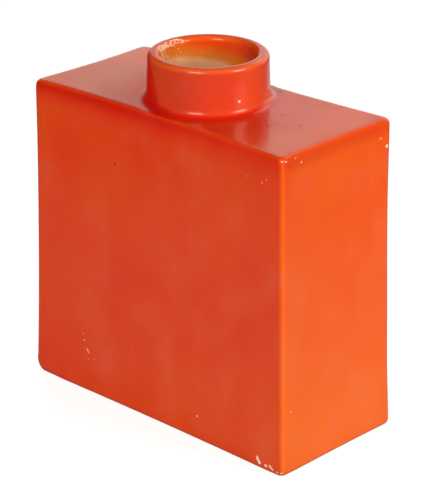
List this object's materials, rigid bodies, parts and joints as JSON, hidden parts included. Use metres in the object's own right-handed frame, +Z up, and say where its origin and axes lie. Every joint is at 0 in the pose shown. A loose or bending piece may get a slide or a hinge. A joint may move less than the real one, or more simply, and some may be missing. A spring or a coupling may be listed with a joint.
{
  "type": "slab vase",
  "caption": "Rectangular slip-cast vase: an upright glazed block with slightly dished walls, rounded edges and a short round neck, for standing stems in water.",
  "frame": {"origin": "centre of the foot, on the surface the vase stands on", "axes": "+Z up along the neck, +X along the broad faces, -Y out of the broad face seen at the left of the picture"},
  "size_m": [0.1708, 0.0798, 0.1812],
  "materials": {
    "orange_glaze": "glossy orange glaze"
  },
  "bodies": {
    "root": {"vase": "orange_glaze"}
  },
  "joints": []
}
